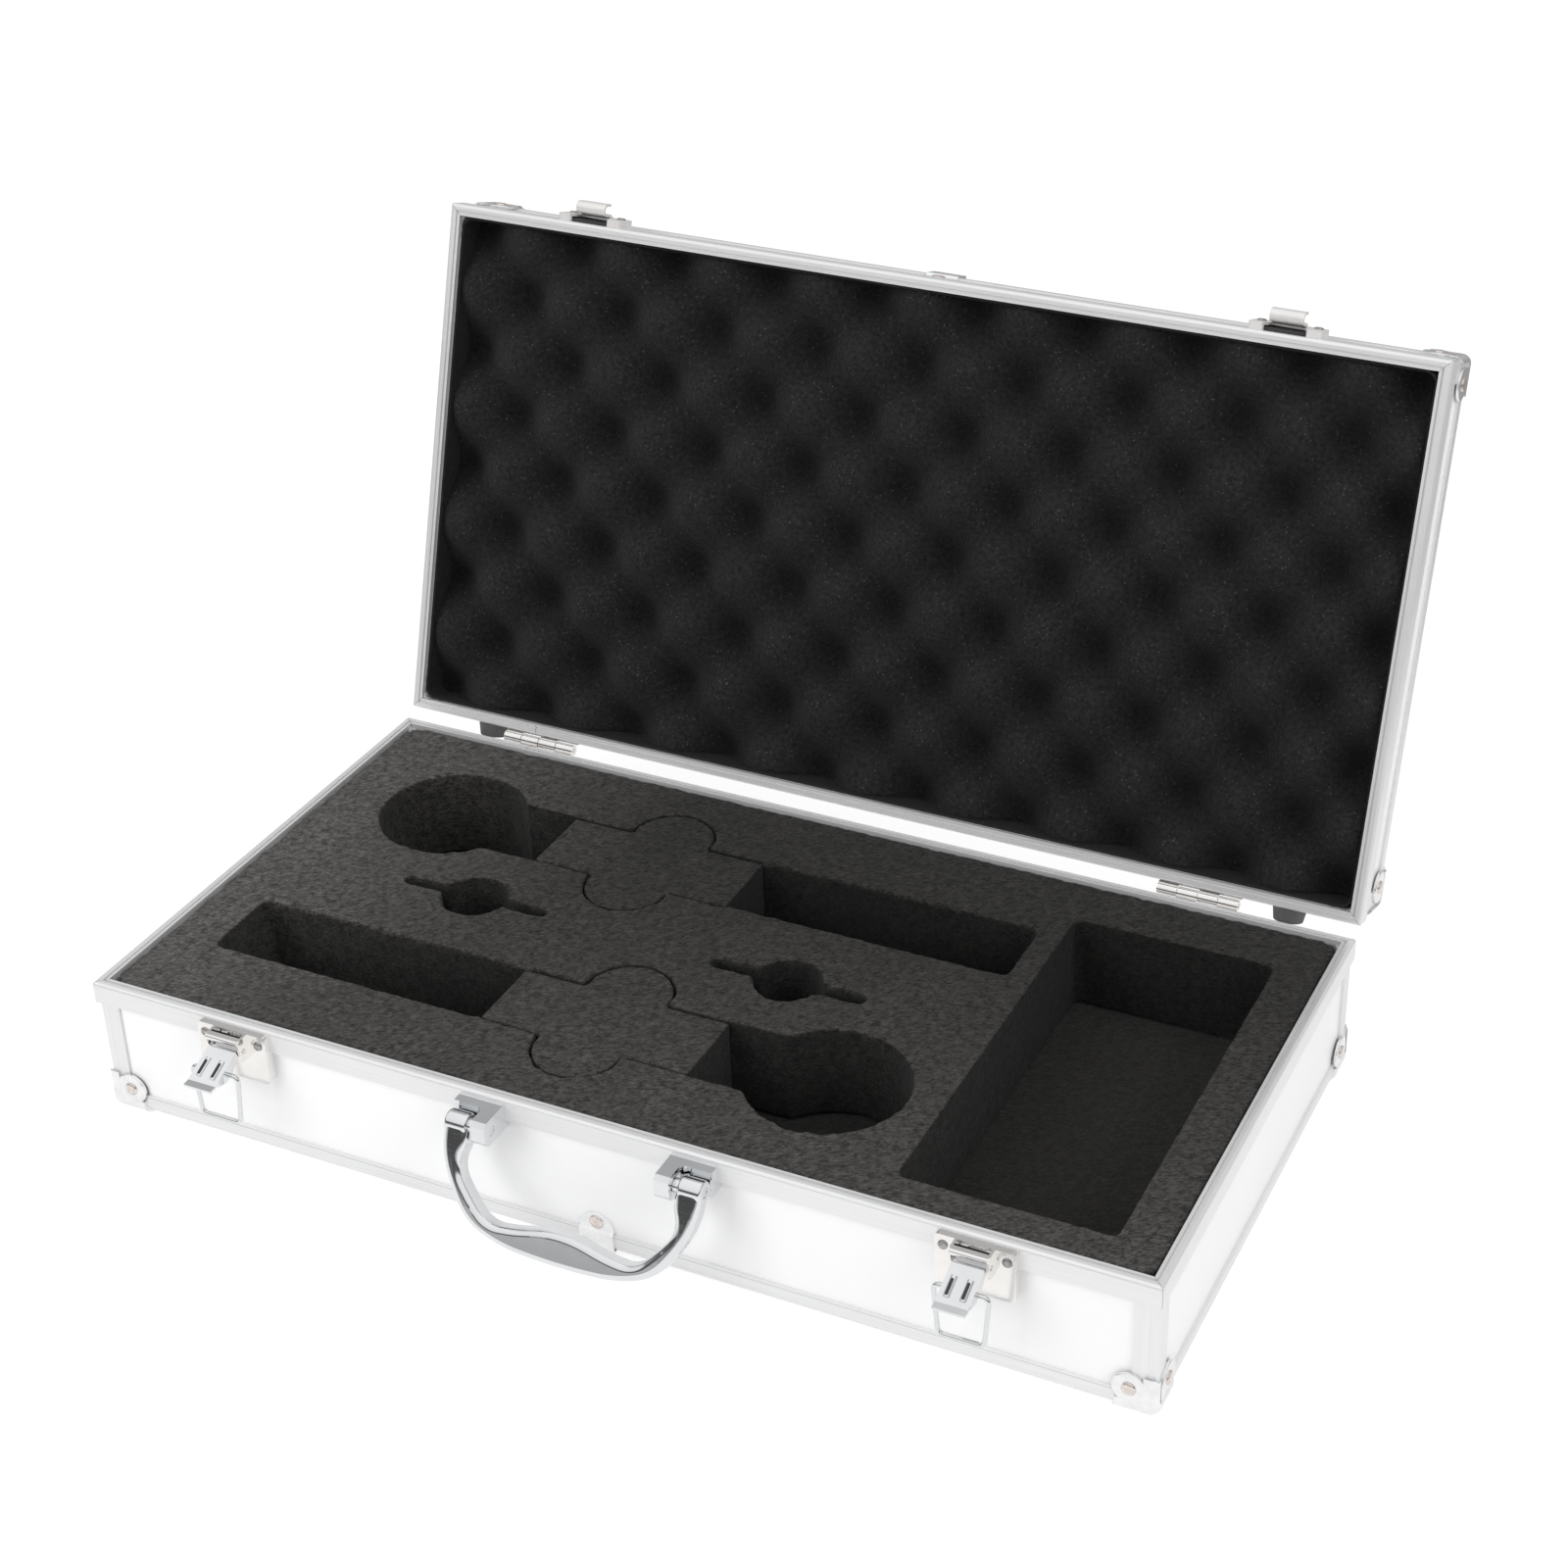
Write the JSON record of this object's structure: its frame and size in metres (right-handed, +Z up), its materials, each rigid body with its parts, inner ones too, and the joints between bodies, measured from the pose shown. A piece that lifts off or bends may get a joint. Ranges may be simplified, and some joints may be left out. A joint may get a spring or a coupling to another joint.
{
  "type": "microphone case",
  "caption": "Shallow aluminium-framed case with hinged lid, draw latches, carrying handle and die-cut foam for handheld microphones",
  "frame": {"origin": "On the floor, under the middle of the open case: middle of its bounding box in X and Y, undersides of the four base corner caps at z = 0.", "axes": "+X along the width to the right seen from the handle side, +Y from the handle side to the hinge side, +Z up."},
  "size_m": [0.4316, 0.3508, 0.2777],
  "materials": {
    "white_board": "white laminated board, fine satin grain",
    "aluminium_profile": "extruded, satin anodised",
    "aluminium_pressing": "pressed sheet, bright satin",
    "nickel_hardware": "nickel plated steel sheet",
    "spring_steel": "bright drawn wire",
    "chromed_handle": "polished chrome plated casting",
    "foam": "open-cell charcoal foam, die cut",
    "lid_foam": "open-cell charcoal foam, convoluted",
    "rubber": "moulded dark grey rubber"
  },
  "bodies": {
    "base": {"base_bottom_panel": "white_board", "base_front_panel": "white_board", "base_back_panel": "white_board", "base_left_panel": "white_board", "base_right_panel": "white_board", "base_rim": "aluminium_profile", "base_front_edging": "aluminium_profile", "base_back_edging": "aluminium_profile", "base_left_edging": "aluminium_profile", "base_right_edging": "aluminium_profile", "base_corner_posts": "aluminium_profile", "base_back_right_cap": "aluminium_pressing", "base_back_left_cap": "aluminium_pressing", "base_front_right_cap": "aluminium_pressing", "base_front_left_cap": "aluminium_pressing", "base_clips": "aluminium_pressing", "base_feet": "rubber", "left_latch_plate": "nickel_hardware", "right_latch_plate": "nickel_hardware", "latch_pins": "spring_steel", "latch_springs": "spring_steel", "right_handle_bracket": "nickel_hardware", "left_handle_bracket": "nickel_hardware", "handle_pins": "spring_steel", "left_hinge_base_leaf": "nickel_hardware", "right_hinge_base_leaf": "nickel_hardware", "hinge_pins": "spring_steel", "base_foam_pad": "foam", "base_foam_block": "foam", "front_mic_plug": "foam", "rear_mic_plug": "foam"},
    "handle": {"handle": "chromed_handle"},
    "left_lever": {"left_latch_lever": "nickel_hardware"},
    "right_lever": {"right_latch_lever": "nickel_hardware"},
    "left_loop": {"left_latch_loop": "spring_steel"},
    "right_loop": {"right_latch_loop": "spring_steel"},
    "lid": {"lid_top_panel": "white_board", "lid_front_panel": "white_board", "lid_back_panel": "white_board", "lid_left_panel": "white_board", "lid_right_panel": "white_board", "lid_rim": "aluminium_profile", "lid_front_edging": "aluminium_profile", "lid_back_edging": "aluminium_profile", "lid_left_edging": "aluminium_profile", "lid_right_edging": "aluminium_profile", "lid_corner_posts": "aluminium_profile", "lid_back_right_cap": "aluminium_pressing", "lid_back_left_cap": "aluminium_pressing", "lid_front_right_cap": "aluminium_pressing", "lid_front_left_cap": "aluminium_pressing", "lid_clips": "aluminium_pressing", "lid_feet": "rubber", "left_hinge_lid_leaf": "nickel_hardware", "right_hinge_lid_leaf": "nickel_hardware", "lid_foam": "lid_foam", "left_lid_catch": "nickel_hardware", "right_lid_catch": "nickel_hardware"}
  },
  "joints": [
    {"name": "lid_hinge", "type": "hinge", "parent": "base", "child": "lid", "pos_m": [0, 0.07547, 0.0582], "axis": [1, 0, 0], "range_deg": [0, 107.7]},
    {"name": "handle_pivot", "type": "hinge", "parent": "base", "child": "handle", "pos_m": [0, -0.15683, 0.05095], "axis": [-1, 0, 0], "range_deg": [0, 118]},
    {"name": "left_lever_hinge", "type": "hinge", "parent": "base", "child": "left_lever", "pos_m": [-0.15, -0.15343, 0.0512], "axis": [1, 0, 0], "range_deg": [0, 66], "stiffness_Nm_per_rad": 0.004, "springref_deg": -45.84},
    {"name": "left_loop_hinge", "type": "hinge", "parent": "left_lever", "child": "left_loop", "pos_m": [-0.15, -0.16204, 0.04594], "axis": [1, 0, 0], "range_deg": [-242.32, 0]},
    {"name": "right_lever_hinge", "type": "hinge", "parent": "base", "child": "right_lever", "pos_m": [0.15, -0.15343, 0.0512], "axis": [1, 0, 0], "range_deg": [0, 66], "stiffness_Nm_per_rad": 0.004, "springref_deg": -45.84},
    {"name": "right_loop_hinge", "type": "hinge", "parent": "right_lever", "child": "right_loop", "pos_m": [0.15, -0.16204, 0.04594], "axis": [1, 0, 0], "range_deg": [-242.32, 0]}
  ],
  "couplings": [
    {"joint": "left_loop_hinge", "follows": "left_lever_hinge", "ratio": -3.6639},
    {"joint": "right_loop_hinge", "follows": "right_lever_hinge", "ratio": -3.6639}
  ]
}
